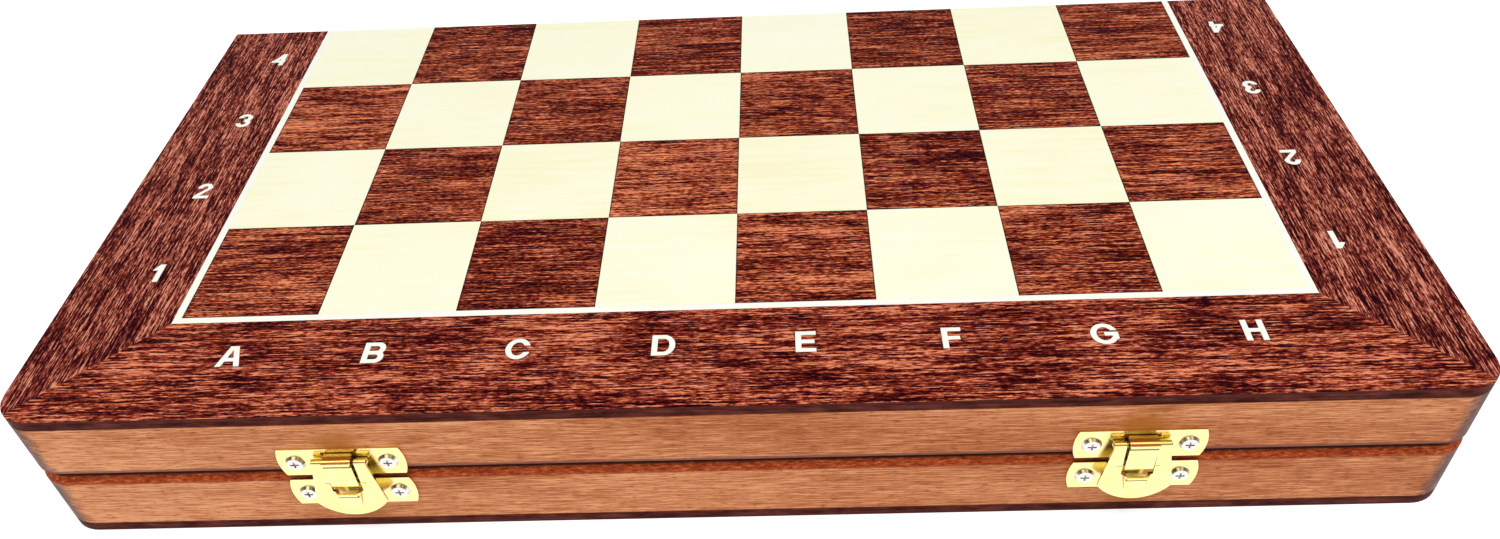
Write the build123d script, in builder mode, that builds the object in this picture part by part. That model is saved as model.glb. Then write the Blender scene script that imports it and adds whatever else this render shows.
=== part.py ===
from build123d import *
import os

os.makedirs("parts", exist_ok=True)

# Folding wooden chessboard: two shallow trays hinged along the back edge, with the
# playing board on their outside faces and two brass catches on the front edge.
# Millimetres. The origin is the centre of the underside, +Z up, the front at -Y.

# Board and box
files = 8
ranks_per_half = 4
square = 38.3
border = 36.8
stringing_width = 2.1
half_height = 22.95
panel_thickness = 3.3
veneer_thickness = 0.6
veneer_joint = 0.05
rail_thickness = 9.5
corner_radius = 10.0
rim_chamfer = 2.2
felt_thickness = 1.0
felt_clearance = 0.3

# Inlaid coordinates
glyph_height = 7.4
letter_widths = (6.6, 5.8, 6.7, 6.2, 5.4, 5.1, 7.1, 5.7)
letter_shifts = (0.0, 0.2, 0.4, 0.6, -0.4, -0.7, 0.3, 0.3)
numeral_width = 4.8
glyph_stroke = 1.3
glyph_stem = 1.55
inlay_gap = 0.12
letter_inset = 15.1
numeral_inset = 14.65

# Butt hinges in the back rails
hinge_spacing = 220.0
hinge_length = 25.0
hinge_leaf_width = 8.0
hinge_leaf_thickness = 0.9
hinge_leaf_recess = 0.05
hinge_knuckle_radius = 2.0
hinge_knuckle_gap = 0.3
hinge_pin_radius = 0.8
hinge_offset = 0.1
hinge_relief = 0.35
mortise_clearance = 0.1
hinge_screw_spacing = 15.0
hinge_screw_inset = 5.4
hinge_screw_head_radius = 1.6
hinge_screw_face_radius = 1.55
hinge_screw_shoulder = 0.02
hinge_screw_dome = 0.02
hinge_screw_shank_radius = 0.85
hinge_screw_length = 7.0

# Catches on the front rails. Heights are from the seam between the halves.
catch_spacing = 206.0
plate_width = 34.0
plate_height = 10.3
plate_thickness = 0.7
strike_seam_gap = 0.4
base_seam_gap = 1.6
plate_end_bulge = 1.0
plate_corner_inset = 1.1
catch_screw_spacing = 24.6
strike_screw_height = 5.5
base_screw_depth = 7.0
catch_screw_head_radius = 2.6
catch_screw_face_radius = 2.1
catch_screw_shoulder = 0.75
catch_screw_dome = 0.12
catch_screw_shank_radius = 1.1
catch_screw_length = 8.0
screw_clearance = 0.05
recess_width = 0.5
recess_reach = 1.1
recess_depth = 0.7

# Lever and hook of a catch. "Out" is the distance in front of the rails.
pivot_out = 2.05
pivot_height = 7.0
catch_pin_radius = 0.45
pivot_pin_length = 15.0
knuckle_radius = 1.0
running_clearance = 0.05
tongue_width = 7.8
tongue_out = 1.4
tongue_foot = 4.0
tongue_bend_height = 0.2
lever_sheet = 0.6
lever_top_width = 14.4
lever_shoulder_width = 19.2
lever_shoulder_depth = 7.4
lever_tip_depth = 12.3
lever_tip_out = 4.1
lever_waist_out = 3.1
lever_waist_depth = 2.5
lever_slot_width = 8.2
lever_slot_depth = 3.35
hook_pivot_out = 2.75
hook_pivot_depth = 0.55
hook_pin_length = 10.8
hook_boss_radius = 0.7
hook_curl_radius = 1.05
hook_width = 7.3
hook_sheet = 0.6
hook_face_offset = 0.75
hook_fold_out = 3.75
hook_fold_radius = 0.9
hook_roof_height = 8.85
hook_lip_height = 1.0
hook_lip_step = 0.5
hook_tip_out = 0.15
strike_slot_width = 9.4
strike_slot_height = 1.3
pocket_foot_width = 8.8
pocket_crown_width = 5.2
pocket_out = 4.6
pocket_sheet = 0.55
pocket_lip_height = 0.8
pocket_lip_step = 0.2
pocket_end_depth = 9.8
pocket_end_width = 6.8
pocket_end_out = 4.0

# Sizes that follow from the driving ones
board_width = files * square + 2 * border
board_depth = ranks_per_half * square + border
seam_height = half_height
closed_height = 2 * half_height
front_y = -board_depth / 2
back_y = board_depth / 2
rail_height = half_height - panel_thickness
border_net = border - stringing_width
hinge_axis_y = back_y + hinge_offset
hinge_relief_radius = hinge_knuckle_radius + hinge_relief
mortise_depth = hinge_leaf_recess + hinge_leaf_thickness
lever_blank_out = max(pocket_out + pocket_lip_step, lever_tip_out) + lever_sheet


def keep(builder, label):
    """Name a finished piece and write it."""
    builder.part.label = label
    export_step(builder.part, f"parts/{label}.step")


# Inlaid letters and numerals, each drawn about its own centre
top = glyph_height / 2
stroke = glyph_stroke
stem = glyph_stem
lobe_height = (glyph_height + stroke) / 2
lobe_radius = lobe_height / 2


def bar(left, right, bottom, upper, mode=Mode.ADD):
    """Upright rectangle between two abscissas and two heights."""
    with Locations(((left + right) / 2, (bottom + upper) / 2)):
        Rectangle(right - left, upper - bottom, mode=mode)


class Pen:
    """Draws strokes that are broader on every side by the spread; gaps get narrower."""

    def __init__(self, spread):
        self.spread = spread

    def grown(self, mode):
        return self.spread if mode is Mode.ADD else -self.spread

    def bar(self, left, right, bottom, upper, mode=Mode.ADD):
        """Upright rectangle between two abscissas and two heights."""
        grown = self.grown(mode)
        bar(left - grown, right + grown, bottom - grown, upper + grown, mode)

    def slant(self, x_low, y_low, x_high, y_high):
        """Slanting stroke with level ends."""
        half = stem / 2 + self.spread
        Polygon(
            (x_low - half, y_low - self.spread),
            (x_low + half, y_low - self.spread),
            (x_high + half, y_high + self.spread),
            (x_high - half, y_high + self.spread),
            align=None,
        )

    def bow(self, left, right, bottom, upper, mode=Mode.ADD):
        """Shape of a filled D: square on the left and round on the right."""
        grown = self.grown(mode)
        radius = (upper - bottom) / 2
        round_width = min(radius, (right - left) / 2)
        middle_x = right - round_width
        bar(left - grown, middle_x, bottom - grown, upper + grown, mode)
        with Locations((middle_x, (bottom + upper) / 2)):
            Ellipse(round_width + grown, radius + grown, mode=mode)

    def loop(self, centre_y, x_radius, y_radius):
        """Oval ring, one stem wide at the sides and one stroke wide above and below."""
        inner_x = x_radius - stem - self.spread
        inner_y = y_radius - stroke - self.spread
        with Locations((0, centre_y)):
            Ellipse(x_radius + self.spread, y_radius + self.spread)
            Ellipse(inner_x, inner_y, mode=Mode.SUBTRACT)


def letter_a(pen, side):
    pen.slant(-side + stem / 2, -top, -stem / 4, top)
    pen.slant(side - stem / 2, -top, stem / 4, top)
    pen.bar(-side / 2, side / 2, -top / 2, -top / 2 + stroke)


def letter_b(pen, side):
    pen.bow(-side, side, -top, -top + lobe_height)
    pen.bow(-side, side, top - lobe_height, top)
    pen.bow(-side + stem, side - stem, -top + stroke, -stroke / 2, Mode.SUBTRACT)
    pen.bow(-side + stem, side - stem, stroke / 2, top - stroke, Mode.SUBTRACT)


def letter_c(pen, side):
    pen.loop(0, side, top)
    pen.bar(side / 3, 2 * side, -top / 3, top / 3, Mode.SUBTRACT)


def letter_d(pen, side):
    pen.bow(-side, side, -top, top)
    pen.bow(-side + stem, side - stem, -top + stroke, top - stroke, Mode.SUBTRACT)


def letter_e(pen, side):
    letter_f(pen, side)
    pen.bar(-side, side, -top, -top + stroke)


def letter_f(pen, side):
    pen.bar(-side, -side + stem, -top, top)
    pen.bar(-side, side, top - stroke, top)
    pen.bar(-side, side - stem / 4, -stroke / 2, stroke / 2)


def letter_g(pen, side):
    letter_c(pen, side)
    pen.bar(0, side, -stroke / 2, stroke / 2)
    pen.bar(side - stem, side, -top / 2, stroke / 2)


def letter_h(pen, side):
    pen.bar(-side, -side + stem, -top, top)
    pen.bar(side - stem, side, -top, top)
    pen.bar(-side, side, -stroke / 2, stroke / 2)


def numeral_1(pen, side):
    pen.bar(0, stem, -top, top)
    pen.slant(-side + stem, top / 3, stem / 2, top)


def numeral_2(pen, side):
    pen.loop(top - side, side, side)
    pen.bar(-2 * side, 2 * side, -2 * top, top - side, Mode.SUBTRACT)
    pen.slant(-side + stem / 2, -top + stroke, side - stem / 2, top - side)
    pen.bar(-side, side, -top, -top + stroke)


def numeral_3(pen, side):
    pen.loop(top - lobe_radius, side, lobe_radius)
    pen.loop(lobe_radius - top, side, lobe_radius)
    pen.bar(-2 * side, 0, lobe_radius - top, top - lobe_radius, Mode.SUBTRACT)


def numeral_4(pen, side):
    pen.bar(side / 4, side / 4 + stem, -top, top)
    pen.bar(-side, side, -top / 2, -top / 2 + stroke)
    pen.slant(-side + stem / 2, -top / 2, side / 4 + stem / 2, top)


def numeral_5(pen, side):
    pen.loop(lobe_radius - top, side, lobe_radius)
    pen.bar(-2 * side, 0, lobe_radius - top, stroke / 2, Mode.SUBTRACT)
    pen.bar(-side, 0, -stroke / 2, stroke / 2)
    pen.bar(-side, -side + stem, -stroke / 2, top)
    pen.bar(-side, side, top - stroke, top)


def numeral_6(pen, side):
    pen.loop(0, side, top)
    pen.bar(-side / 4, 2 * side, 0, top - stroke, Mode.SUBTRACT)
    pen.loop(lobe_radius - top, side, lobe_radius)


def numeral_7(pen, side):
    pen.bar(-side, side, top - stroke, top)
    pen.slant(-side / 2, -top, side - stem / 2, top)


def numeral_8(pen, side):
    pen.loop(top - lobe_radius, side - stem / 4, lobe_radius)
    pen.loop(lobe_radius - top, side, lobe_radius)


def drawn(glyph, width, spread=0.0):
    """Sketch of one letter or numeral, or of its seat when there is a spread."""
    with BuildSketch(Plane.XY) as outline:
        glyph(Pen(spread), width / 2)
    return outline.sketch


letter_shapes = [letter_a, letter_b, letter_c, letter_d, letter_e, letter_f, letter_g, letter_h]
numeral_shapes = [numeral_1, numeral_2, numeral_3, numeral_4, numeral_5, numeral_6, numeral_7, numeral_8]
letter_sizes = list(zip(letter_shapes, letter_widths))
letter_sketches = [drawn(shape, width) for shape, width in letter_sizes]
letter_seats = [drawn(shape, width, inlay_gap) for shape, width in letter_sizes]
numeral_sketches = [drawn(shape, numeral_width) for shape in numeral_shapes]
numeral_seats = [drawn(shape, numeral_width, inlay_gap) for shape in numeral_shapes]


def wood_screw(head_radius, face_radius, shoulder, dome, shank_radius, length):
    """Cross-head screw with a raised countersunk head: its rim plane is z = 0 and it points
    down. A sloping shoulder rises from the rim to the slightly domed face."""
    cone = head_radius - shank_radius
    crown = (0, shoulder + dome)
    crown_seat = (0, 0, shoulder + dome)
    face_edge = (face_radius, shoulder)
    with BuildPart() as screw:
        with BuildSketch(Plane.XZ):
            with BuildLine():
                RadiusArc(crown, face_edge, dome_radius(face_radius, dome))
                Polyline(
                    face_edge,
                    (head_radius, 0),
                    (shank_radius, -cone),
                    (shank_radius, shank_radius - length),
                    (0, -length),
                    crown,
                )
            make_face()
        revolve(axis=Axis.Z)
        for angle in (0, 90):
            with Locations(Location(crown_seat, (0, 0, angle))):
                Box(recess_reach * face_radius, recess_width, 2 * recess_depth, mode=Mode.SUBTRACT)
    return screw.part


def dome_radius(rim_radius, rise):
    """Radius of the sphere that a domed head is part of."""
    return (rim_radius**2 + rise**2) / (2 * rise)


def screw_space(head_radius, shank_radius, length, sink):
    """Room cut for a screw whose rim lies a little under the surface."""
    mouth_radius = head_radius + screw_clearance
    bore_radius = shank_radius + screw_clearance
    with BuildPart() as space:
        with BuildSketch(Plane.XZ):
            Polygon(
                (0, sink),
                (mouth_radius, sink),
                (mouth_radius, 0),
                (bore_radius, bore_radius - mouth_radius),
                (bore_radius, -length - screw_clearance),
                (0, -length - screw_clearance),
                align=None,
            )
        revolve(axis=Axis.Z)
    return space.part


catch_screw = wood_screw(
    catch_screw_head_radius,
    catch_screw_face_radius,
    catch_screw_shoulder,
    catch_screw_dome,
    catch_screw_shank_radius,
    catch_screw_length,
)
catch_screw_space = screw_space(
    catch_screw_head_radius, catch_screw_shank_radius, catch_screw_length, screw_clearance
)
hinge_screw = wood_screw(
    hinge_screw_head_radius,
    hinge_screw_face_radius,
    hinge_screw_shoulder,
    hinge_screw_dome,
    hinge_screw_shank_radius,
    hinge_screw_length,
)
hinge_screw_space = screw_space(
    hinge_screw_head_radius, hinge_screw_shank_radius, hinge_screw_length, hinge_leaf_recess
)


def catch_screw_seats(centre_x, height):
    """Planes of the two screw heads beside one another on a catch plate."""
    head_y = front_y - plate_thickness
    return [
        Plane(
            origin=(centre_x + side * catch_screw_spacing / 2, head_y, seam_height + height),
            x_dir=(1, 0, 0),
            z_dir=(0, -1, 0),
        )
        for side in (-1, 1)
    ]


def hinge_screw_seats(centre_x, up):
    """Planes of the two screw heads in one hinge leaf, up being 1 for the upper leaf."""
    return [
        Plane(
            origin=(
                centre_x + side * hinge_screw_spacing / 2,
                hinge_axis_y - hinge_screw_inset,
                seam_height + up * hinge_leaf_recess,
            ),
            x_dir=(1, 0, 0),
            z_dir=(0, 0, -up),
        )
        for side in (-1, 1)
    ]


def hinge_section(centre_x, start):
    """Plane across a hinge, with local x to the back and local y up."""
    return Plane(
        origin=(centre_x + start, hinge_axis_y, seam_height), x_dir=(0, 1, 0), z_dir=(1, 0, 0)
    )


def hinge_seat(centre_x, up):
    """Mortise for a leaf, room round the knuckles and the screw holes, cut in a back rail."""
    seat_length = hinge_length + 2 * mortise_clearance
    relief_length = hinge_length + 2 * hinge_relief
    with BuildPart() as seat:
        with BuildSketch(hinge_section(centre_x, -seat_length / 2)):
            bar(-hinge_leaf_width - mortise_clearance, 0, *sorted((0, up * mortise_depth)))
        extrude(amount=seat_length)
        with BuildSketch(hinge_section(centre_x, -relief_length / 2)):
            Circle(hinge_relief_radius)
        extrude(amount=relief_length)
        with Locations(*hinge_screw_seats(centre_x, up)):
            add(hinge_screw_space)
    return seat.part


catch_centres = {"left": -catch_spacing / 2, "right": catch_spacing / 2}
hinge_centres = {"left": -hinge_spacing / 2, "right": hinge_spacing / 2}


def make_half(name, face, away, first_rank, screw_height):
    """One tray with its board. The plane "face" lies on the board, its normal outwards,
    and the front edge is on the local y side that "away" gives."""
    up = 1 if name == "upper" else -1
    front_v = away * board_depth / 2
    side_x = board_width / 2
    grid_x = files * square / 2
    grid_v = front_v - away * border
    ranks = range(first_rank, first_rank + ranks_per_half)

    def rank_v(rank):
        """Local height of the middle of a rank, which counts away from the hinges."""
        from_hinge = abs(rank - ranks_per_half - 0.5) * square
        return away * (from_hinge - board_depth / 2)

    with BuildSketch(face) as outline:
        Rectangle(board_width, board_depth)
        front_corners = outline.sketch_local.vertices().sort_by(Axis.Y, reverse=away > 0)[:2]
        fillet(front_corners, corner_radius)

    def squares(label, parity):
        with BuildPart() as veneer:
            with BuildSketch(face):
                for file in range(1, files + 1):
                    for rank in ranks:
                        if (file + rank) % 2 == parity:
                            with Locations(((file - files / 2 - 0.5) * square, rank_v(rank))):
                                Rectangle(square - veneer_joint, square - veneer_joint)
            extrude(amount=-veneer_thickness)
        keep(veneer, label)

    squares(f"{name}_dark_squares", 0)
    squares(f"{name}_light_squares", 1)

    # Pale inlay lines on the three outer sides of the squares, the front one across the ends
    # of the others
    line_x = grid_x + stringing_width
    line_v = grid_v + away * stringing_width
    side_end_v = grid_v - away * veneer_joint
    with BuildPart() as stringing:
        with BuildSketch(face):
            bar(-line_x, line_x, *sorted((grid_v, line_v)))
            bar(-line_x, -grid_x, *sorted((-front_v, side_end_v)))
            bar(grid_x, line_x, *sorted((-front_v, side_end_v)))
        extrude(amount=-veneer_thickness)
    keep(stringing, f"{name}_stringing")

    # Where each letter and numeral lies, and how it is turned
    marks = []
    letter_turn = 0 if away < 0 else 180
    for file, (letter, seat) in enumerate(zip(letter_sketches, letter_seats)):
        letter_x = (file - files / 2 + 0.5) * square + letter_shifts[file]
        place = (letter_x, grid_v + away * letter_inset)
        marks.append((letter, seat, place, letter_turn))
    for rank in ranks:
        numeral = numeral_sketches[rank - 1]
        seat = numeral_seats[rank - 1]
        marks.append((numeral, seat, (-grid_x - numeral_inset, rank_v(rank)), 0))
        marks.append((numeral, seat, (grid_x + numeral_inset, rank_v(rank)), 180))

    with BuildPart() as coordinates:
        with BuildSketch(face):
            for sketch, _, place, turn in marks:
                with Locations(place):
                    add(sketch, rotation=turn)
        extrude(amount=-veneer_thickness)
    keep(coordinates, f"{name}_coordinates")

    # Border veneers, mitred at the front corners
    mitre_x = side_x - border_net
    mitre_v = front_v - away * border_net
    border_shapes = {
        "front": [(-side_x, front_v), (side_x, front_v), (mitre_x, mitre_v), (-mitre_x, mitre_v)],
        "left": [(-side_x, front_v), (-mitre_x, mitre_v), (-mitre_x, -front_v), (-side_x, -front_v)],
        "right": [(side_x, front_v), (mitre_x, mitre_v), (mitre_x, -front_v), (side_x, -front_v)],
    }
    for side, corners in border_shapes.items():
        with BuildPart() as strip:
            with BuildSketch(face):
                Polygon(*corners, align=None)
                add(outline.sketch_local, mode=Mode.INTERSECT)
                for _, seat, place, turn in marks:
                    with Locations(place):
                        add(seat, rotation=turn, mode=Mode.SUBTRACT)
            extrude(amount=-veneer_thickness)
        keep(strip, f"{name}_{side}_border")

    # Board panel under the veneers
    with BuildPart() as core:
        with BuildSketch(face.offset(-veneer_thickness)):
            add(outline.sketch_local)
        extrude(amount=veneer_thickness - panel_thickness)
    keep(core, f"{name}_board_core")

    # Frame of the tray, cut below into four mitred rails
    with BuildPart() as frame:
        with BuildSketch(face.offset(-panel_thickness)):
            add(outline.sketch_local)
            Rectangle(
                board_width - 2 * rail_thickness,
                board_depth - 2 * rail_thickness,
                mode=Mode.SUBTRACT,
            )
        extrude(amount=-rail_height)
        rim = frame.faces().sort_by(Axis.Z)[0 if up > 0 else -1]
        chamfer(rim.outer_wire().edges(), rim_chamfer)

    middle_x = side_x - board_depth / 2
    rail_shapes = {
        "front": [(-side_x, front_v), (side_x, front_v), (middle_x, 0), (-middle_x, 0)],
        "back": [(-side_x, -front_v), (side_x, -front_v), (middle_x, 0), (-middle_x, 0)],
        "left": [(-side_x, front_v), (-middle_x, 0), (-side_x, -front_v)],
        "right": [(side_x, front_v), (middle_x, 0), (side_x, -front_v)],
    }
    for side, corners in rail_shapes.items():
        with BuildPart() as rail:
            add(frame.part)
            with BuildSketch(face):
                Polygon(*corners, align=None)
            extrude(amount=-half_height, mode=Mode.INTERSECT)
            if side == "front":
                for centre_x in catch_centres.values():
                    with Locations(*catch_screw_seats(centre_x, screw_height)):
                        add(catch_screw_space, mode=Mode.SUBTRACT)
            if side == "back":
                for centre_x in hinge_centres.values():
                    add(hinge_seat(centre_x, up), mode=Mode.SUBTRACT)
        keep(rail, f"{name}_{side}_rail")

    # Cloth lining on the floor of the tray
    lining_inset = 2 * (rail_thickness + felt_clearance)
    with BuildPart() as felt:
        with BuildSketch(face.offset(-panel_thickness)):
            Rectangle(board_width - lining_inset, board_depth - lining_inset)
        extrude(amount=-felt_thickness)
    keep(felt, f"{name}_felt")


upper_face = Plane(origin=(0, 0, closed_height), x_dir=(1, 0, 0), z_dir=(0, 0, 1))
lower_face = Plane(origin=(0, 0, 0), x_dir=(1, 0, 0), z_dir=(0, 0, -1))
make_half("lower", lower_face, 1, ranks_per_half + 1, -base_screw_depth)
make_half("upper", upper_face, -1, 1, strike_screw_height)


def make_hinge(side, centre_x):
    """One butt hinge: two leaves let into the rims, a pin and the screws."""
    third = hinge_length / 3
    middle_knuckle = [(-third / 2, third - hinge_knuckle_gap)]
    end_knuckles = [
        (-hinge_length / 2, third - hinge_knuckle_gap),
        (third / 2 + hinge_knuckle_gap, third - hinge_knuckle_gap),
    ]
    for half, up, knuckles in (("lower", -1, end_knuckles), ("upper", 1, middle_knuckle)):
        low, high = sorted((up * hinge_leaf_recess, up * mortise_depth))
        with BuildPart() as leaf:
            with BuildSketch(hinge_section(centre_x, -hinge_length / 2)):
                bar(-hinge_leaf_width, -hinge_relief_radius, low, high)
            extrude(amount=hinge_length)
            for start, length in knuckles:
                with BuildSketch(hinge_section(centre_x, start + hinge_knuckle_gap / 2)):
                    Circle(hinge_knuckle_radius)
                    bar(-hinge_relief_radius, 0, low, high)
                    Circle(hinge_pin_radius + running_clearance, mode=Mode.SUBTRACT)
                extrude(amount=length - hinge_knuckle_gap / 2)
            with Locations(*hinge_screw_seats(centre_x, up)):
                add(hinge_screw_space, mode=Mode.SUBTRACT)
        keep(leaf, f"hinge_{side}_{half}_leaf")

        with BuildPart() as screws:
            with Locations(*hinge_screw_seats(centre_x, up)):
                add(hinge_screw)
        keep(screws, f"hinge_{side}_{half}_screws")

    with BuildPart() as pin:
        with BuildSketch(hinge_section(centre_x, -hinge_length / 2)):
            Circle(hinge_pin_radius)
        extrude(amount=hinge_length)
    keep(pin, f"hinge_{side}_pin")


for hinge_side, hinge_x in hinge_centres.items():
    make_hinge(hinge_side, hinge_x)


def plate_outline(low, high):
    """Outline of a catch plate: a strip with bulging ends."""
    end_x = plate_width / 2 - plate_corner_inset
    middle = (low + high) / 2
    bulge_x = end_x + plate_end_bulge
    with BuildSketch(Plane.XY) as outline:
        with BuildLine():
            Line((-end_x, low), (end_x, low))
            ThreePointArc((end_x, low), (bulge_x, middle), (end_x, high))
            Line((end_x, high), (-end_x, high))
            ThreePointArc((-end_x, high), (-bulge_x, middle), (-end_x, low))
        make_face()
    return outline.sketch


def make_catch(side, centre_x):
    """One draw catch: strike plate, base plate, lever, hook, their pins and screws."""
    seam_point = (centre_x, front_y, seam_height)
    face = Plane(origin=seam_point, x_dir=(1, 0, 0), z_dir=(0, -1, 0))
    section = Plane(origin=seam_point, x_dir=(0, -1, 0), z_dir=(-1, 0, 0))
    pivot = (pivot_out, pivot_height)
    waist = (lever_waist_out, -lever_waist_depth)
    hook_pivot = (hook_pivot_out, -hook_pivot_depth)
    pin_hole_radius = catch_pin_radius + running_clearance

    def level(height):
        """Level plane at a height, with local y out to the front."""
        return Plane(
            origin=(centre_x, front_y, seam_height + height), x_dir=(1, 0, 0), z_dir=(0, 0, -1)
        )

    with BuildPart() as strike:
        with BuildSketch(face):
            add(plate_outline(strike_seam_gap, strike_seam_gap + plate_height))
            with Locations((0, hook_roof_height)):
                Rectangle(strike_slot_width, strike_slot_height, mode=Mode.SUBTRACT)
        extrude(amount=plate_thickness)
        with Locations(*catch_screw_seats(centre_x, strike_screw_height)):
            add(catch_screw_space, mode=Mode.SUBTRACT)
    keep(strike, f"catch_{side}_strike_plate")

    with BuildPart() as base:
        with BuildSketch(face):
            add(plate_outline(-base_seam_gap - plate_height, -base_seam_gap))
        extrude(amount=plate_thickness)
        with BuildSketch(section):
            with BuildLine():
                Polyline(
                    (plate_thickness / 2, -tongue_foot),
                    (plate_thickness / 2, -base_seam_gap),
                    (tongue_out, tongue_bend_height),
                    (tongue_out, pivot_height),
                )
            trace(line_width=plate_thickness)
            with Locations(pivot):
                Circle(knuckle_radius)
                Circle(pin_hole_radius, mode=Mode.SUBTRACT)
        extrude(amount=tongue_width / 2, both=True)
        with Locations(*catch_screw_seats(centre_x, -base_screw_depth)):
            add(catch_screw_space, mode=Mode.SUBTRACT)
    keep(base, f"catch_{side}_base_plate")

    # Bell-shaped sheet lever with rolled knuckles, ears behind it for the hook pin and a
    # pressed pocket with a lip below the hook
    with BuildPart() as lever:
        with BuildSketch(section):
            with BuildLine():
                ThreePointArc(
                    (pivot_out + knuckle_radius - lever_sheet / 2, pivot_height),
                    waist,
                    (lever_tip_out, -lever_tip_depth - lever_sheet),
                )
            trace(line_width=lever_sheet)
            with Locations(pivot):
                Circle(knuckle_radius)
        extrude(amount=lever_shoulder_width / 2, both=True)
        with BuildSketch(face):
            with BuildLine():
                Polyline(
                    (lever_shoulder_width / 2, -lever_shoulder_depth),
                    (lever_top_width / 2, pivot_height - knuckle_radius),
                    (lever_top_width / 2, pivot_height + knuckle_radius),
                    (-lever_top_width / 2, pivot_height + knuckle_radius),
                    (-lever_top_width / 2, pivot_height - knuckle_radius),
                    (-lever_shoulder_width / 2, -lever_shoulder_depth),
                )
                ThreePointArc(
                    (-lever_shoulder_width / 2, -lever_shoulder_depth),
                    (0, -lever_tip_depth),
                    (lever_shoulder_width / 2, -lever_shoulder_depth),
                )
            make_face()
        extrude(amount=lever_blank_out, mode=Mode.INTERSECT)
        with BuildSketch(section):
            with Locations(hook_pivot):
                Circle(hook_boss_radius)
        extrude(amount=hook_pin_length / 2, both=True)
        for inset in (0, pocket_sheet):
            mode = Mode.SUBTRACT if inset else Mode.ADD
            foot_out = 0 if inset else hook_pivot_out
            with BuildSketch(level(-lever_slot_depth)):
                Polygon(
                    (-pocket_foot_width / 2 + inset, foot_out),
                    (pocket_foot_width / 2 - inset, foot_out),
                    (pocket_crown_width / 2, pocket_out - inset),
                    (-pocket_crown_width / 2, pocket_out - inset),
                    align=None,
                )
            with BuildSketch(level(-pocket_end_depth + inset)):
                Polygon(
                    (-pocket_end_width / 2 + inset, foot_out),
                    (pocket_end_width / 2 - inset, foot_out),
                    (pocket_crown_width / 2, pocket_end_out - inset),
                    (-pocket_crown_width / 2, pocket_end_out - inset),
                    align=None,
                )
            loft(ruled=True, mode=mode)
            if not inset:
                with BuildSketch(level(-lever_slot_depth)):
                    lip_out = pocket_out + pocket_lip_step
                    Polygon(
                        (-pocket_crown_width / 2, hook_pivot_out),
                        (pocket_crown_width / 2, hook_pivot_out),
                        (pocket_crown_width / 2, lip_out),
                        (-pocket_crown_width / 2, lip_out),
                        align=None,
                    )
                extrude(amount=pocket_lip_height)
        with BuildSketch(face):
            bar(
                -lever_slot_width / 2,
                lever_slot_width / 2,
                -lever_slot_depth,
                pivot_height + knuckle_radius,
            )
        extrude(amount=lever_blank_out, mode=Mode.SUBTRACT)
        for place, length in ((pivot, lever_shoulder_width), (hook_pivot, hook_pin_length)):
            with BuildSketch(section):
                with Locations(place):
                    Circle(pin_hole_radius)
            extrude(amount=length / 2, both=True, mode=Mode.SUBTRACT)
    keep(lever, f"catch_{side}_lever")

    lip_reach = hook_sheet / 2 + hook_lip_step
    with BuildPart() as hook:
        with BuildSketch(section):
            with BuildLine():
                FilletPolyline(
                    (hook_pivot_out + hook_face_offset, -hook_pivot_depth),
                    (hook_fold_out, hook_roof_height),
                    (hook_tip_out, hook_roof_height),
                    radius=hook_fold_radius,
                )
            trace(line_width=hook_sheet)
            with Locations(hook_pivot):
                Circle(hook_curl_radius)
                Circle(pin_hole_radius, mode=Mode.SUBTRACT)
            lip_top = hook_roof_height + hook_sheet / 2
            bar(hook_fold_out, hook_fold_out + lip_reach, lip_top - hook_lip_height, lip_top)
        extrude(amount=hook_width / 2, both=True)
    keep(hook, f"catch_{side}_hook")

    for label, place, length in (
        ("pivot_pin", pivot, pivot_pin_length),
        ("hook_pin", hook_pivot, hook_pin_length),
    ):
        with BuildPart() as pin:
            with BuildSketch(section):
                with Locations(place):
                    Circle(catch_pin_radius)
            extrude(amount=length / 2, both=True)
        keep(pin, f"catch_{side}_{label}")

    for label, height in (("strike", strike_screw_height), ("base", -base_screw_depth)):
        with BuildPart() as screws:
            with Locations(*catch_screw_seats(centre_x, height)):
                add(catch_screw)
        keep(screws, f"catch_{side}_{label}_screws")


for catch_side, catch_x in catch_centres.items():
    make_catch(catch_side, catch_x)
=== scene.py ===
import math

import bpy
from mathutils import Matrix, Vector, noise


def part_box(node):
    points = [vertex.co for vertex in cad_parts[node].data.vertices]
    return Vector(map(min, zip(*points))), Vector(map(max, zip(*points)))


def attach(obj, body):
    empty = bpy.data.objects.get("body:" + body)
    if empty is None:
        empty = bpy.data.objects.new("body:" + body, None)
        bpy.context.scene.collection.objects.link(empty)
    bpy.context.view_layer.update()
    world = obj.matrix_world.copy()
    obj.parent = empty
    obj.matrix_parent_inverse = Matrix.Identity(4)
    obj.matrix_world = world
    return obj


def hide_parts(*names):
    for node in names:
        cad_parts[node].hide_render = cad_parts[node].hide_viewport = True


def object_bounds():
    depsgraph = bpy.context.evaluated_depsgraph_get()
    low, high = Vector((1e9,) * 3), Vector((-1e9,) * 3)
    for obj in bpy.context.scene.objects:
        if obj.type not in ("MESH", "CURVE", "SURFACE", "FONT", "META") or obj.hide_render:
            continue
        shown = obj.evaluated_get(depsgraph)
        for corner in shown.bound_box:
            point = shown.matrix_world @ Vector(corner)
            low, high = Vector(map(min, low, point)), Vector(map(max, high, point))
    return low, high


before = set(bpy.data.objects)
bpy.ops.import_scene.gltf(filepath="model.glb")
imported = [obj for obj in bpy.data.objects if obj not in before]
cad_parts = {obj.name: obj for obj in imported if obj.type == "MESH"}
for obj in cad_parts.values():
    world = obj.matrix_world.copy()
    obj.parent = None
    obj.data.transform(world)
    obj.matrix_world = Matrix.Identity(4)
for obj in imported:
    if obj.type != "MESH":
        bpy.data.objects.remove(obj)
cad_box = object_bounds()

# Sizes of the CAD pieces that the finishes follow, in metres
SQUARE = 0.0383
RIM_CHAMFER = 0.0022
CORNER_RADIUS = 0.010

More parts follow.
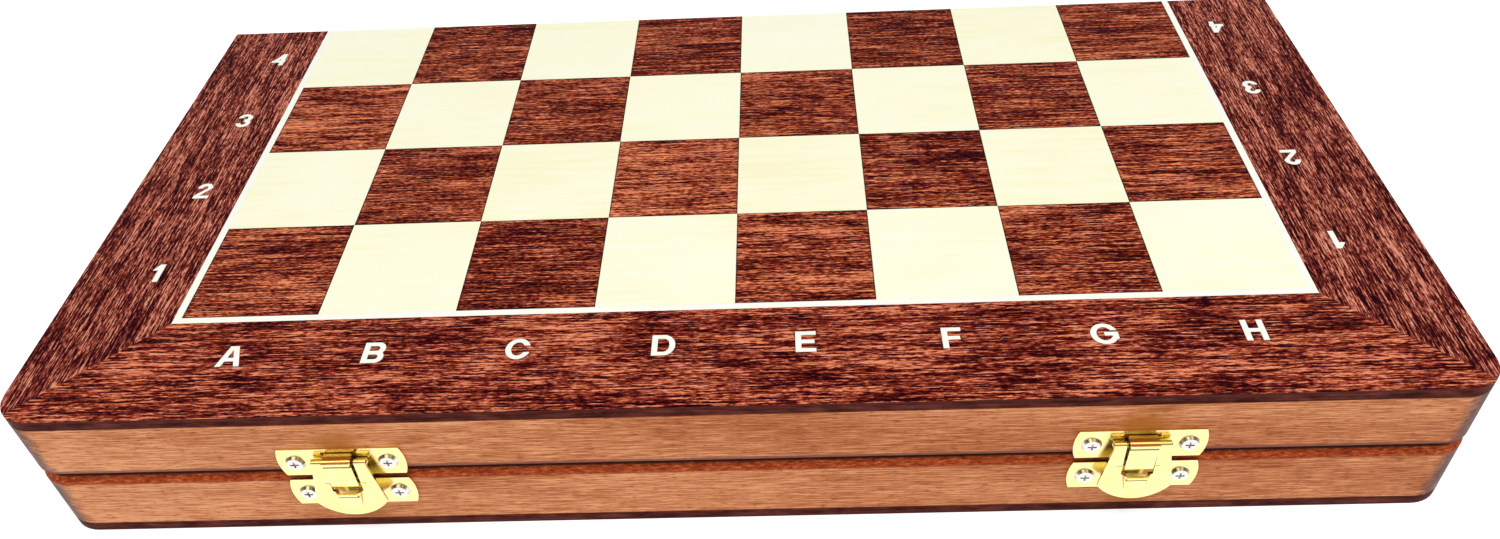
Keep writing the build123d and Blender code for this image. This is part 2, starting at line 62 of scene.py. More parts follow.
# Places that the finishes follow, read from the frame
box_low, box_high = cad_box
core_low, core_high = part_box("upper_board_core")
strike_low, strike_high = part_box("catch_right_strike_plate")
SEAM = (box_low[2] + box_high[2]) / 2
HALF_WIDTH = core_high.x
FRONT = core_low.y
GRID_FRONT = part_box("upper_dark_squares")[0].y
RAIL_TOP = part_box("upper_front_rail")[1].z
CATCH_X = (strike_low.x + strike_high.x) / 2

# Most values of a noise lie between these two
NOISE_LOW = 0.3
NOISE_HIGH = 0.7


def set_stops(node, stops):
    """Give a colour ramp node its stops, from the first to the last."""
    elements = node.color_ramp.elements
    while len(elements) < len(stops):
        elements.new(0.5)
    for element, (position, colour) in zip(elements, stops):
        element.position = position
        element.color = (*colour, 1)


class Finish:
    """One material, with short ways to add the nodes that it is made of."""

    def __init__(self, name, **values):
        self.material = bpy.data.materials.new(name)
        self.material.use_nodes = True
        self.nodes = self.material.node_tree.nodes
        self.links = self.material.node_tree.links
        self.shader = self.nodes["Principled BSDF"]
        for socket, value in values.items():
            self.shader.inputs[socket.replace("_", " ")].default_value = value
        coordinates = self.nodes.new("ShaderNodeTexCoord")
        self.place = coordinates.outputs["Object"]
        self.x, self.y, self.z = self.split(self.place)
        self.facing = self.split(coordinates.outputs["Normal"])

    def put(self, socket, value):
        """Join a socket to another one, or set it to a plain value."""
        if isinstance(value, bpy.types.NodeSocket):
            self.links.new(value, socket)
        else:
            socket.default_value = value

    def split(self, vector):
        node = self.nodes.new("ShaderNodeSeparateXYZ")
        self.put(node.inputs[0], vector)
        return node.outputs

    def join(self, x, y, z):
        node = self.nodes.new("ShaderNodeCombineXYZ")
        for socket, value in zip(node.inputs, (x, y, z)):
            self.put(socket, value)
        return node.outputs[0]

    def math(self, operation, *values):
        node = self.nodes.new("ShaderNodeMath")
        node.operation = operation
        for socket, value in zip(node.inputs, values):
            self.put(socket, value)
        return node.outputs[0]

    def vector_math(self, operation, *values):
        node = self.nodes.new("ShaderNodeVectorMath")
        node.operation = operation
        for socket, value in zip(node.inputs, values):
            self.put(socket, value)
        return node.outputs

    def add(self, *values):
        total = values[0]
        for value in values[1:]:
            total = self.math("ADD", total, value)
        return total

    def product(self, *values):
        total = values[0]
        for value in values[1:]:
            total = self.math("MULTIPLY", total, value)
        return total

    def absolute(self, value):
        return self.math("ABSOLUTE", value)

    def about(self, value, strength):
        """A value from 0 to 1 turned into a shift around zero."""
        return self.math("MULTIPLY_ADD", value, strength, -0.5 * strength)

    def within(self, value, start, end, low=0.0, high=1.0, shape="SMOOTHSTEP"):
        """Step from low at start to high at end, smooth unless another shape is named."""
        node = self.nodes.new("ShaderNodeMapRange")
        node.interpolation_type = shape
        for socket, amount in zip(node.inputs, (value, start, end, low, high)):
            self.put(socket, amount)
        return node.outputs[0]

    def rise(self, value, start, end, strength=1.0):
        """0 up to start, rising smoothly to strength at end."""
        return self.within(value, start, end, 0.0, strength)

    def fade(self, value, start, end, strength=1.0):
        """Strength up to start, falling smoothly to 0 at end."""
        return self.within(value, start, end, strength, 0.0)

    def blend(self, factor, first, second, kind="MIX"):
        node = self.nodes.new("ShaderNodeMix")
        node.data_type = "RGBA"
        node.blend_type = kind
        self.put(node.inputs["Factor"], factor)
        self.put(node.inputs["A"], first)
        self.put(node.inputs["B"], second)
        return node.outputs["Result"]

    def ramp(self, factor, *stops):
        node = self.nodes.new("ShaderNodeValToRGB")
        set_stops(node, stops)
        self.put(node.inputs[0], factor)
        return node.outputs[0]

    def noise(self, cells, offset=None, detail=3.0, roughness=0.55, distortion=0.0):
        """Noise with its own number of cells a metre along each axis."""
        place = self.place
        if offset is not None:
            place = self.vector_math("ADD", place, offset)["Vector"]
        node = self.nodes.new("ShaderNodeTexNoise")
        self.put(node.inputs["Vector"], self.vector_math("MULTIPLY", place, cells)["Vector"])
        node.inputs["Scale"].default_value = 1.0
        node.inputs["Detail"].default_value = detail
        node.inputs["Roughness"].default_value = roughness
        node.inputs["Distortion"].default_value = distortion
        return node.outputs["Fac"]

    def random(self, vector):
        """A fixed random value and a fixed random colour for each vector."""
        node = self.nodes.new("ShaderNodeTexWhiteNoise")
        self.put(node.inputs["Vector"], vector)
        return node.outputs["Value"], node.outputs["Color"]

    def bump(self, height, strength, distance):
        node = self.nodes.new("ShaderNodeBump")
        node.inputs["Strength"].default_value = strength
        node.inputs["Distance"].default_value = distance
        self.put(node.inputs["Height"], height)
        self.put(self.shader.inputs["Normal"], node.outputs[0])

    def colour(self, value):
        self.put(self.shader.inputs["Base Color"], value)

    def roughness(self, value, first, last):
        """Roughness that goes from first to last as a noise value rises."""
        self.put(self.shader.inputs["Roughness"], self.within(value, NOISE_LOW, NOISE_HIGH, first, last))


def stretched(along, cells):
    """Cells a metre on three axes: the first number along the grain, the second across it."""
    lengthwise, crosswise = cells
    if along == "x":
        return (lengthwise, crosswise, crosswise)
    return (crosswise, lengthwise, crosswise)


def square_index(finish):
    """A vector that is the same all over one square of the board, on one half."""
    column = finish.math("FLOOR", finish.math("DIVIDE", finish.x, SQUARE))
    depth = finish.math("SUBTRACT", finish.y, GRID_FRONT)
    row = finish.math("FLOOR", finish.math("DIVIDE", depth, SQUARE))
    half = finish.math("GREATER_THAN", finish.z, SEAM)
    return finish.join(column, row, half)


def from_catch(finish):
    """Distance along the front from the middle of the nearer catch, in metres."""
    return finish.absolute(finish.math("SUBTRACT", finish.absolute(finish.x), CATCH_X))


# How far the marks on the veneer and the rails reach, in metres. A pair is where a mark
# starts to fade and where it ends.
GLUE_LINE = 0.00055
OUTER_DEPTH = (0.006, 0.008)
FRONT_SKIN = 0.0005
SMUDGE_WIDTH = (0.002, 0.008)
SMUDGE_DEPTH = (0.0005, 0.006)
SMUDGE_UNEVENNESS = 0.012
STAIN_REACH = (0.55 * CORNER_RADIUS, 1.05 * CORNER_RADIUS)
STAIN_UNEVENNESS = 0.006
# Height of the dark band above the upper rims, partly painted shade
BAND_HEIGHT = (RIM_CHAMFER + 0.0006, RIM_CHAMFER + 0.0012)
BAND_UNEVENNESS = 0.0006
RIM_HEIGHT = (RIM_CHAMFER + 0.0003, RIM_CHAMFER + 0.0009)
RIM_UNEVENNESS = 0.0008
# Height of the painted shade in the seam, each side of it
SEAM_SHADE_HEIGHT = (0.0005, 0.0009)

# How strongly they show, from 0 to 1
SMUDGE_STRENGTH = 0.75
STAIN_STRENGTH = (0.65, 0.95)
BAND_STRENGTH = 0.8
# Darkness of the painted shade in the seam
SEAM_SHADE_STRENGTH = 0.9

# How far a face is turned up or down where a finish changes: 0 is upright, 1 is flat
UPRIGHT = (0.3, 0.6)
FLAT = (0.85, 0.92)


def joint_line(finish):
    """1 in the dark glue line round each square, 0 elsewhere."""
    across = finish.math("PINGPONG", finish.x, SQUARE / 2)
    depth = finish.math("PINGPONG", finish.math("SUBTRACT", finish.y, GRID_FRONT), SQUARE / 2)
    return finish.fade(finish.math("MINIMUM", across, depth), 0.0, GLUE_LINE)


def outer_face(finish):
    """1 on the outer faces of the rails, 0 on the inner walls and the flat seam faces."""
    inset = finish.math(
        "MINIMUM",
        finish.math("SUBTRACT", HALF_WIDTH, finish.absolute(finish.x)),
        finish.math("SUBTRACT", -FRONT, finish.absolute(finish.y)),
    )
    not_flat = finish.fade(finish.absolute(finish.facing[2]), *FLAT)
    return finish.product(finish.fade(inset, *OUTER_DEPTH), not_flat)


def catch_smudge(finish, cloud):
    """Yellowed patch on the front rail behind each catch, fading out under the board's edge."""
    beside = finish.add(from_catch(finish), finish.about(cloud, SMUDGE_UNEVENNESS))
    below_top = finish.math("SUBTRACT", RAIL_TOP, finish.z)
    return finish.product(
        finish.fade(beside, *SMUDGE_WIDTH),
        finish.rise(below_top, *SMUDGE_DEPTH, SMUDGE_STRENGTH),
        finish.math("LESS_THAN", finish.y, FRONT + FRONT_SKIN),
    )


def corner_stain(finish, stain):
    """Blotched stain on the rounded front corners, falling to 0 a little further in."""
    from_side = finish.math("SUBTRACT", HALF_WIDTH, finish.absolute(finish.x))
    from_front = finish.math("SUBTRACT", finish.y, FRONT)
    distance = finish.math("MAXIMUM", from_side, from_front)
    distance = finish.add(distance, finish.about(stain, STAIN_UNEVENNESS))
    blotches = finish.within(stain, 0.25, 0.6, *STAIN_STRENGTH)
    return finish.product(finish.fade(distance, *STAIN_REACH), blotches)


def stain_and_shade_band(finish, above_seam, stain, outside):
    """Thin dark band on the upper rails, just above their chamfered rim: partly stain, partly painted shade
    where the rounded edge turns from the light.
    """
    height = finish.add(above_seam, finish.about(stain, BAND_UNEVENNESS))
    above = finish.math("GREATER_THAN", above_seam, 0.0)
    return finish.product(finish.fade(height, *BAND_HEIGHT, BAND_STRENGTH), outside, above)


def rim_of_rails(finish, above_seam, stain, outside):
    """1 on the chamfered rims on both sides of the seam, with an uneven edge below it."""
    height = finish.add(finish.absolute(above_seam), finish.about(stain, RIM_UNEVENNESS))
    below_band = finish.math("LESS_THAN", above_seam, RIM_CHAMFER)
    return finish.product(finish.fade(height, *RIM_HEIGHT), below_band, outside)


# Depth of the grain, brushing, scratches and fibres, in metres
VENEER_RELIEF = 0.0001
RAIL_RELIEF = 0.00012
BRUSHING_RELIEF = 0.00003
SCRATCH_RELIEF = 0.00001
FELT_RELIEF = 0.0004

# The grain of each square is taken from another place, up to this many metres away
GRAIN_SHIFT = (3.0, 3.0, 3.0)


def dark_veneer(name, along, streak_cells, cloud_cells, tint, in_squares=False):
    """Dark red-brown veneer with short streaks and pores, in squares or in one strip. Cells are
    counted a metre, along the grain and across it."""
    speckle_cells = (600, 2800)
    pore_cells = (240, 2800)
    glue = (0.02, 0.008, 0.006, 1)
    cut_edge = (0.085, 0.020, 0.014, 1)
    finish = Finish(name, Specular_IOR_Level=0.03)
    offset = None
    tone = 0.5
    if in_squares:
        tone, colour = finish.random(square_index(finish))
        offset = finish.vector_math("MULTIPLY", colour, GRAIN_SHIFT)["Vector"]
    streak_grain = stretched(along, streak_cells)
    streaks = finish.noise(streak_grain, offset, detail=4, roughness=0.6, distortion=0.3)
    speckle = finish.noise(stretched(along, speckle_cells), offset, detail=2)
    cloud = finish.noise(stretched(along, cloud_cells), offset, detail=3, distortion=0.4)
    pores = finish.noise(stretched(along, pore_cells), offset, detail=2)
    value = finish.add(
        finish.about(streaks, 3.5),
        finish.about(speckle, 2.4),
        finish.about(cloud, 1.3),
        finish.about(tone, 0.3),
        0.48,
        finish.rise(pores, 0.54, 0.70, -0.4),
    )
    wood = finish.ramp(
        value,
        (0.00, (0.018, 0.000, 0.002)),
        (0.24, (0.066, 0.003, 0.003)),
        (0.48, (0.205, 0.024, 0.011)),
        (0.72, (0.430, 0.084, 0.032)),
        (1.00, (0.820, 0.290, 0.130)),
    )
    wood = finish.blend(1.0, wood, tint, "MULTIPLY")
    if in_squares:
        wood = finish.blend(joint_line(finish), wood, glue)
    upright = finish.fade(finish.absolute(finish.facing[2]), *UPRIGHT)
    finish.colour(finish.blend(upright, wood, cut_edge))
    finish.roughness(streaks, 0.55, 0.40)
    finish.bump(finish.add(streaks, speckle), 0.3, VENEER_RELIEF)
    return finish.material


def light_veneer():
    """Pale cream veneer, almost even, with faint straight grain."""
    finish = Finish("light_veneer_finish", Coat_Weight=0.03, Coat_Roughness=0.3, Specular_IOR_Level=0.08)
    tone, colour = finish.random(square_index(finish))
    streaks = finish.noise(stretched("x", (40, 420)), colour, detail=4, roughness=0.6)
    cloud = finish.noise((22, 30, 22), colour, detail=2)
    value = finish.add(
        finish.about(streaks, 1.2),
        finish.about(cloud, 0.7),
        finish.about(tone, 0.3),
        0.5,
    )
    wood = finish.ramp(
        value,
        (0.10, (0.95, 0.91, 0.60)),
        (0.50, (0.98, 0.965, 0.72)),
        (0.90, (0.985, 0.98, 0.80)),
    )
    finish.colour(wood)
    finish.roughness(streaks, 0.5, 0.40)
    finish.bump(streaks, 0.1, VENEER_RELIEF)
    return finish.material


def pale_inlay():
    """Almost white inlay of the lines, letters and numerals."""
    finish = Finish("pale_inlay_finish", Coat_Weight=0.03, Coat_Roughness=0.3, Specular_IOR_Level=0.08)
    grain = finish.noise((300, 300, 300), detail=3)
    wood = finish.ramp(
        grain,
        (0.2, (0.94, 0.92, 0.78)),
        (0.5, (0.97, 0.96, 0.87)),
        (0.8, (0.98, 0.98, 0.92)),
    )
    finish.colour(wood)
    finish.roughness(grain, 0.48, 0.40)
    finish.bump(grain, 0.1, VENEER_RELIEF)
    return finish.material


def panel_edge():
    """Board panel whose edges are stained dark."""
    finish = Finish("panel_edge_finish", Specular_IOR_Level=0.02)
    layers = finish.noise((60, 60, 2500), detail=2)
    blotches = finish.noise((160, 160, 400), detail=3)
    value = finish.add(finish.about(layers, 1.1), finish.about(blotches, 1.3), 0.5)
    stained = finish.ramp(
        value,
        (0.20, (0.036, 0.006, 0.005)),
        (0.50, (0.085, 0.018, 0.013)),
        (0.85, (0.160, 0.042, 0.032)),
    )
    finish.colour(stained)
    finish.roughness(blotches, 0.55, 0.42)
    finish.bump(value, 0.3, VENEER_RELIEF)
    return finish.material


def rail_wood(name, along):
    """Fine-grained orange-brown solid wood, redder and rougher on the chamfered rims, with painted shade in
    the seam, a band of stain and painted shade above the upper rims, and painted light towards the left
    end.
    """
    smudged = (0.42, 0.135, 0.018, 1)
    stained = (0.085, 0.034, 0.036, 1)
    # Colour of the dark band above the upper rims, partly painted shade
    shaded = (0.20, 0.062, 0.050, 1)
    # Colour of the painted shade in the seam
    seam_shade = (0.015, 0.005, 0.004, 1)
    finish = Finish(name, Coat_Weight=0.03, Coat_Roughness=0.3, Specular_IOR_Level=0.10)
    streaks = finish.noise(stretched(along, (90, 2200)), detail=4, roughness=0.6, distortion=0.15)
    flecks = finish.noise(stretched(along, (330, 3600)), detail=2)
    cloud = finish.noise(stretched(along, (11, 70)), detail=3)
    rough = finish.noise(stretched(along, (520, 2000)), detail=4, roughness=0.7)
    stain = finish.noise((230, 230, 230), detail=3)
    value = finish.add(
        finish.about(streaks, 2.5),
        finish.about(cloud, 1.0),
        0.55,
        finish.rise(flecks, 0.54, 0.66, -0.5),
        # Painted light: the rails are lighter towards the left end
        finish.fade(finish.x, -HALF_WIDTH, 0.0, 0.22),
    )
    wood = finish.ramp(
        value,
        (0.05, (0.290, 0.068, 0.018)),
        (0.35, (0.470, 0.143, 0.046)),
        (0.60, (0.600, 0.216, 0.082)),
        (0.95, (0.840, 0.380, 0.180)),
    )
    rim = finish.ramp(
        rough,
        (0.25, (0.050, 0.004, 0.002)),
        (0.43, (0.250, 0.030, 0.004)),
        (0.57, (0.420, 0.078, 0.014)),
        (0.75, (0.720, 0.250, 0.080)),
    )
    outside = outer_face(finish)
    above_seam = finish.math("SUBTRACT", finish.z, SEAM)
    on_rim = rim_of_rails(finish, above_seam, stain, outside)
    # Painted shade: near-black line in the seam between the rims
    seam_shade_mask = finish.product(finish.fade(finish.absolute(above_seam), *SEAM_SHADE_HEIGHT, SEAM_SHADE_STRENGTH), outside)
    wood = finish.blend(catch_smudge(finish, cloud), wood, smudged)
    wood = finish.blend(corner_stain(finish, stain), wood, stained)
    # Partly painted shade: the dark band just above the upper rims
    wood = finish.blend(stain_and_shade_band(finish, above_seam, stain, outside), wood, shaded)
    wood = finish.blend(on_rim, wood, rim)
    finish.colour(finish.blend(seam_shade_mask, wood, seam_shade))
    finish.roughness(streaks, 0.52, 0.42)
    finish.bump(finish.add(streaks, finish.product(rough, on_rim)), 0.3, RAIL_RELIEF)
    return finish.material


class Lip:
    """A lip bent out of a catch piece: its height above the seam, half its width, how far down
    the painted shadow under it goes, and how far in front of the board it begins. In metres."""

    def __init__(self, height, half_width, shadow_depth, begins):
        self.height = height
        self.half_width = half_width
        self.shadow_depth = shadow_depth
        self.begins = begins


LEVER_LIP = Lip(height=-0.00415, half_width=0.0027, shadow_depth=0.00065, begins=0.0040)
HOOK_LIP = Lip(height=0.00815, half_width=0.0038, shadow_depth=0.00105, begins=0.00365)
LIP_BLUR = 0.0001
# Share of the painted bronze reflection left on a lip, which otherwise stays a painted highlight
LIP_REFLECTION_KEPT = 0.15
# Blur and darkness of the painted shadow under a lip
LIP_SHADOW_BLUR = 0.0003
LIP_SHADOW_END_BLUR = 0.0002
LIP_SHADOW_STRENGTH = 0.92


def brass(name, wear, reflection_strength, lip=None):
    """Polished pale brass with fine brushing, and a painted dark bronze reflection where it faces
    up or sideways. A lip keeps a painted highlight on its top and has a painted shadow line under it."""
    # Colour of the painted dark reflection on faces turned up or sideways
    reflected_bronze = (0.62, 0.33, 0.06, 1)
    # Colour of the painted shadow under a lip
    lip_shadow = (0.10, 0.06, 0.02, 1)
    finish = Finish(name, Metallic=1.0)
    brushing = finish.noise((1200, 1200, 4200), detail=3)
    blotches = finish.noise((420, 420, 420), detail=3)
    metal = finish.ramp(
        finish.add(finish.about(blotches, 0.9), finish.about(brushing, 0.5), 0.5),
        (0.10, (0.90, 0.74, 0.26)),
        (0.40, (0.95, 0.85, 0.37)),
        (0.80, (0.97, 0.90, 0.50)),
    )
    # Painted reflection: blotchy bronze on faces turned up or sideways
    turned = finish.math("MAXIMUM", finish.facing[2], finish.absolute(finish.facing[0]))
    bronze_reflection = finish.rise(finish.add(turned, finish.about(blotches, 0.5)), 0.35, 0.8, reflection_strength)
    # Painted highlight: in front of where a lip begins, most of the painted bronze reflection is taken off
    if lip:
        out = finish.math("SUBTRACT", FRONT, finish.y)
        lip_highlight = finish.within(out, lip.begins - LIP_BLUR, lip.begins + LIP_BLUR, 1.0, LIP_REFLECTION_KEPT)
        bronze_reflection = finish.product(bronze_reflection, lip_highlight)
    metal = finish.blend(bronze_reflection, metal, reflected_bronze)
    # Painted shadow: a dark line under the lip, across its width
    if lip:
        below = finish.math("SUBTRACT", SEAM + lip.height, finish.z)
        line = finish.product(
            finish.math("GREATER_THAN", below, 0.0),
            finish.fade(below, lip.shadow_depth, lip.shadow_depth + LIP_SHADOW_BLUR, LIP_SHADOW_STRENGTH),
            finish.fade(from_catch(finish), lip.half_width, lip.half_width + LIP_SHADOW_END_BLUR),
        )
        metal = finish.blend(line, metal, lip_shadow)
    finish.colour(metal)
    finish.roughness(blotches, 0.14 + wear, 0.22 + wear)
    finish.bump(brushing, 0.08, BRUSHING_RELIEF)
    return finish.material


def steel(name, colour, roughness):
    """Plated steel of the pins and screws, with a painted dark yellow reflection on its upward faces."""
    reflected_dark_yellow = (0.26, 0.18, 0.05, 1)
    finish = Finish(name, Metallic=1.0)
    scratches = finish.noise((3200, 900, 900), detail=3)
    dark = tuple(0.88 * channel for channel in colour)
    plating = finish.ramp(scratches, (0.25, dark), (0.55, colour))
    # Painted reflection: upward faces turn dark yellow
    upper = finish.rise(finish.facing[2], 0.25, 0.6, 0.9)
    finish.colour(finish.blend(upper, plating, reflected_dark_yellow))
    finish.roughness(scratches, roughness + 0.06, roughness - 0.04)
    finish.bump(scratches, 0.05, SCRATCH_RELIEF)
    return finish.material


def felt_finish():
    """Green felt with matted fibres."""
    finish = Finish(
        "felt_finish", Sheen_Weight=0.5, Sheen_Roughness=0.5, Specular_IOR_Level=0.1, Roughness=0.95
    )
    fibres = finish.noise((900, 900, 900), detail=5, roughness=0.75, distortion=1.5)
    clumps = finish.noise((70, 70, 70), detail=3)
    cloth = finish.ramp(
        finish.math("MULTIPLY_ADD", clumps, 0.6, finish.product(fibres, 0.6)),
        (0.35, (0.010, 0.060, 0.028)),
        (0.60, (0.022, 0.125, 0.058)),
        (0.85, (0.070, 0.240, 0.130)),
    )
    finish.colour(cloth)
    finish.bump(fibres, 0.8, FELT_RELIEF)
    return finish.material


# Felt sheets on the floors of the two trays, in metres
FELT_CELL = 0.0016
FELT_UNEVENNESS = 0.00012
FELT_WAVES_A_METRE = 300
FELT_EDGE_DROP = 0.00035


def felt_height(x, y, low, high, floor_z):
    """Height of the felt over the tray's floor: slightly uneven, lower at its softened edges."""
    thickness = high.z - low.z
    from_edge = min(x - low.x, high.x - x, y - low.y, high.y - y)
    drop = FELT_EDGE_DROP * max(0.0, 1 - from_edge / thickness) ** 2
    wave = FELT_UNEVENNESS * (1 + noise.noise(Vector((x, y, floor_z)) * FELT_WAVES_A_METRE)) / 2
    return thickness - drop - wave


def felt_mesh(name, low, high, up):
    """Closed sheet: a top of small cells, a wall along its rim and one face on the tray's floor."""
    columns = round((high.x - low.x) / FELT_CELL)
    rows = round((high.y - low.y) / FELT_CELL)
    floor_z = low.z if up > 0 else high.z
    points = []
    for row in range(rows + 1):
        for column in range(columns + 1):
            x = low.x + (high.x - low.x) * column / columns
            y = low.y + (high.y - low.y) * row / rows
            points.append((x, y, floor_z + up * felt_height(x, y, low, high, floor_z)))

    def top(column, row):
        return row * (columns + 1) + column

    faces = []
    for row in range(rows):
        for column in range(columns):
            near = (top(column, row), top(column + 1, row))
            far = (top(column + 1, row + 1), top(column, row + 1))
            faces.append(near + far)
    rim = [top(column, 0) for column in range(columns)]
    rim += [top(columns, row) for row in range(rows)]
    rim += [top(column, rows) for column in range(columns, 0, -1)]
    rim += [top(0, row) for row in range(rows, 0, -1)]
    first = len(points)
    count = len(rim)
    points += [(points[index][0], points[index][1], floor_z) for index in rim]
    for step in range(count):
        following = (step + 1) % count
        faces.append((rim[step], first + step, first + following, rim[following]))
    faces.append(tuple(reversed(range(first, first + count))))
    if up < 0:
        faces = [tuple(reversed(face)) for face in faces]
    mesh = bpy.data.meshes.new(name)
    mesh.from_pydata(points, [], faces)
    mesh.update()
    mesh.shade_smooth()
    return mesh


def make_felt(half, up, material):
    """Felt glued to the floor of one tray, with its top facing up or down."""
    low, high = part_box(f"{half}_felt")
    mesh = felt_mesh(f"{half}_felt_sheet", low, high, up)
    mesh.materials.append(material)
    sheet = bpy.data.objects.new(f"{half}_felt_sheet", mesh)
    bpy.context.scene.collection.objects.link(sheet)
    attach(sheet, f"{half}_half")
    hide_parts(f"{half}_felt")


def dress(node, material):
    """Give a CAD piece its material."""
    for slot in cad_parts[node].material_slots:
        slot.material = material


squares_dark = dark_veneer(
    "dark_squares_finish",
    along="x",
    streak_cells=(70, 2500),
    cloud_cells=(36, 210),
    tint=(1.04, 1.00, 1.04, 1),
    in_squares=True,
)
border_front = dark_veneer(
    "front_border_finish",
    along="x",
    streak_cells=(90, 2300),
    cloud_cells=(34, 190),
    tint=(1.02, 0.97, 1.12, 1),
)
border_side = dark_veneer(
    "side_border_finish",
    along="y",
    streak_cells=(90, 2400),
    cloud_cells=(40, 210),
    tint=(0.88, 0.98, 1.45, 1),
)
squares_light = light_veneer()
inlay = pale_inlay()
core_edge = panel_edge()
rails_x = rail_wood("long_rails_finish", along="x")
rails_y = rail_wood("side_rails_finish", along="y")
felt = felt_finish()
# The number after wear sets how strong the painted bronze reflection is on each brass
lever_brass = brass("lever_brass_finish", wear=0.0, reflection_strength=0.9, lip=LEVER_LIP)
hook_brass = brass("hook_brass_finish", wear=0.0, reflection_strength=0.9, lip=HOOK_LIP)
plate_brass = brass("plate_brass_finish", wear=0.02, reflection_strength=0.35)
hinge_brass = brass("hinge_brass_finish", wear=0.06, reflection_strength=0.6)
pin_steel = steel("pin_finish", (0.80, 0.66, 0.36), roughness=0.25)
screw_plating = steel("screw_finish", (0.80, 0.80, 0.80), roughness=0.22)

for half, up in (("lower", 1), ("upper", -1)):
    dress(f"{half}_board_core", core_edge)
    dress(f"{half}_dark_squares", squares_dark)
    dress(f"{half}_light_squares", squares_light)
    dress(f"{half}_stringing", inlay)
    dress(f"{half}_coordinates", inlay)
    dress(f"{half}_front_border", border_front)
    for side in ("left", "right"):
        dress(f"{half}_{side}_border", border_side)
        dress(f"{half}_{side}_rail", rails_y)
    for side in ("front", "back"):
        dress(f"{half}_{side}_rail", rails_x)
    make_felt(half, up, felt)

for side in ("left", "right"):
    for half in ("lower", "upper"):
        dress(f"hinge_{side}_{half}_leaf", hinge_brass)
        dress(f"hinge_{side}_{half}_screws", screw_plating)
    dress(f"hinge_{side}_pin", pin_steel)
    for piece in ("strike_plate", "base_plate"):
        dress(f"catch_{side}_{piece}", plate_brass)
    dress(f"catch_{side}_lever", lever_brass)
    dress(f"catch_{side}_hook", hook_brass)
    for piece in ("pivot_pin", "hook_pin"):
        dress(f"catch_{side}_{piece}", pin_steel)
    for piece in ("strike_screws", "base_screws"):
        dress(f"catch_{side}_{piece}", screw_plating)

# Camera where the photograph was taken from: metres, degrees and millimetres
CAMERA_PLACE = (0.015552, -0.284712, 0.262967)
CAMERA_ELEVATION = 42.092
CAMERA_AZIMUTH = 2.765
CAMERA_ROLL = -3.467
CAMERA_LENS = 27.742
CAMERA_SENSOR = 36
CAMERA_NEAREST = 0.01


def make_camera():
    """Camera with the photograph's place, direction and angle of view."""
    data = bpy.data.cameras.new("camera")
    data.sensor_width = CAMERA_SENSOR
    data.lens = CAMERA_LENS
    data.clip_start = CAMERA_NEAREST
    camera = bpy.data.objects.new("camera", data)
    camera.matrix_world = (
        Matrix.Translation(CAMERA_PLACE)
        @ Matrix.Rotation(math.radians(CAMERA_AZIMUTH), 4, "Z")
        @ Matrix.Rotation(math.pi / 2 - math.radians(CAMERA_ELEVATION), 4, "X")
        @ Matrix.Rotation(math.radians(CAMERA_ROLL), 4, "Z")
    )
    bpy.context.scene.collection.objects.link(camera)
    bpy.context.scene.camera = camera


# Floor, and how strongly it is lifted to white near the box and far from it, in metres
WHITE = (1, 1, 1, 1)
FLOOR_REACH = 4.0
FLOOR_COLOUR = (0.82, 0.82, 0.82, 1)
NEAR_DISTANCE, NEAR_LIFT = 0.5, 0.42
FAR_DISTANCE, FAR_LIFT = 2.0, 1.1


def floor_finish():
    """Pale matt floor that reads as white and still shows the shadow."""
    finish = Finish(
        "floor_finish", Base_Color=FLOOR_COLOUR, Roughness=0.9, Specular_IOR_Level=0.1, Emission_Color=WHITE
    )
    rays = finish.nodes.new("ShaderNodeLightPath").outputs
    mirrored = finish.math("MAXIMUM", rays["Is Glossy Ray"], rays["Is Transmission Ray"])
    seen = finish.math("MAXIMUM", rays["Is Camera Ray"], mirrored)
    distance = finish.vector_math("LENGTH", finish.place)["Value"]
    level = finish.within(distance, NEAR_DISTANCE, FAR_DISTANCE, NEAR_LIFT, FAR_LIFT, shape="LINEAR")
    finish.put(finish.shader.inputs["Emission Strength"], finish.product(seen, level))
    return finish.material


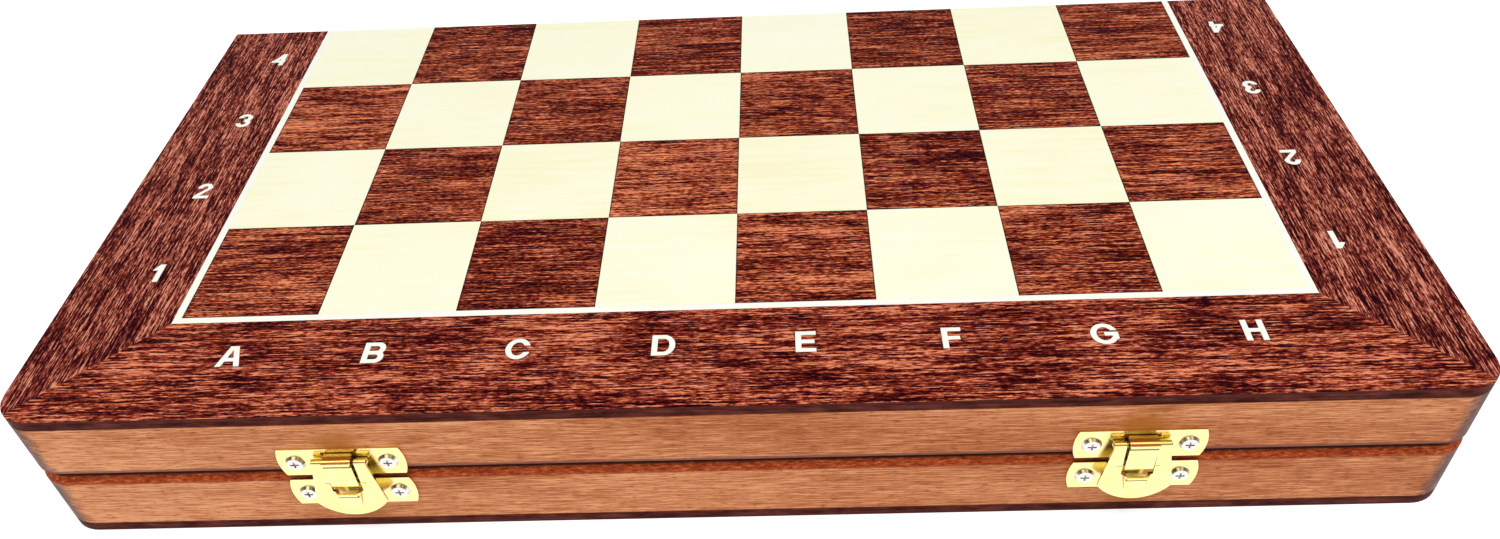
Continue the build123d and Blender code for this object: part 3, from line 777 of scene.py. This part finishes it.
def make_floor():
    """Square floor under the box."""
    mesh = bpy.data.meshes.new("floor")
    corners = [(-1, -1, 0), (1, -1, 0), (1, 1, 0), (-1, 1, 0)]
    mesh.from_pydata([Vector(corner) * FLOOR_REACH for corner in corners], [], [(0, 1, 2, 3)])
    mesh.materials.append(floor_finish())
    floor = bpy.data.objects.new("floor", mesh)
    floor.location.z = box_low[2]
    bpy.context.scene.collection.objects.link(floor)


# Grey levels of the surroundings, from the horizon and below it (0) to straight up (1)
SKY_LEVELS = ((0.0, 0.85), (0.35, 0.70), (0.60, 0.22), (1.0, 0.18))


def make_world():
    """Soft surroundings, brighter near the horizon, and white where the camera sees them."""
    world = bpy.data.worlds.new("studio")
    world.use_nodes = True
    bpy.context.scene.world = world
    tree = world.node_tree
    background = tree.nodes["Background"]
    direction = tree.nodes.new("ShaderNodeTexCoord")
    parts = tree.nodes.new("ShaderNodeSeparateXYZ")
    tree.links.new(direction.outputs["Generated"], parts.inputs[0])
    ramp = tree.nodes.new("ShaderNodeValToRGB")
    set_stops(ramp, [(position, (level, level, level)) for position, level in SKY_LEVELS])
    tree.links.new(parts.outputs[2], ramp.inputs[0])
    rays = tree.nodes.new("ShaderNodeLightPath")
    mix = tree.nodes.new("ShaderNodeMix")
    mix.data_type = "RGBA"
    tree.links.new(rays.outputs["Is Camera Ray"], mix.inputs["Factor"])
    tree.links.new(ramp.outputs[0], mix.inputs["A"])
    mix.inputs["B"].default_value = WHITE
    tree.links.new(mix.outputs["Result"], background.inputs["Color"])
    background.inputs["Strength"].default_value = 1.0


# Lamps, in metres and watts
LAMP_SIZE = 1.3


def make_lamp(name, place, power):
    """Square soft lamp aimed at the object."""
    data = bpy.data.lights.new(name, "AREA")
    data.shape = "SQUARE"
    data.size = LAMP_SIZE
    data.energy = power
    lamp = bpy.data.objects.new(name, data)
    aim = -Vector(place)
    lamp.matrix_world = Matrix.Translation(place) @ aim.to_track_quat("-Z", "Y").to_matrix().to_4x4()
    bpy.context.scene.collection.objects.link(lamp)


make_camera()
make_floor()
make_world()
make_lamp("key_lamp", (-0.45, -0.75, 1.9), power=22.0)
make_lamp("fill_lamp", (0.9, -0.5, 1.7), power=14.0)
bpy.context.scene.view_settings.view_transform = "Standard"
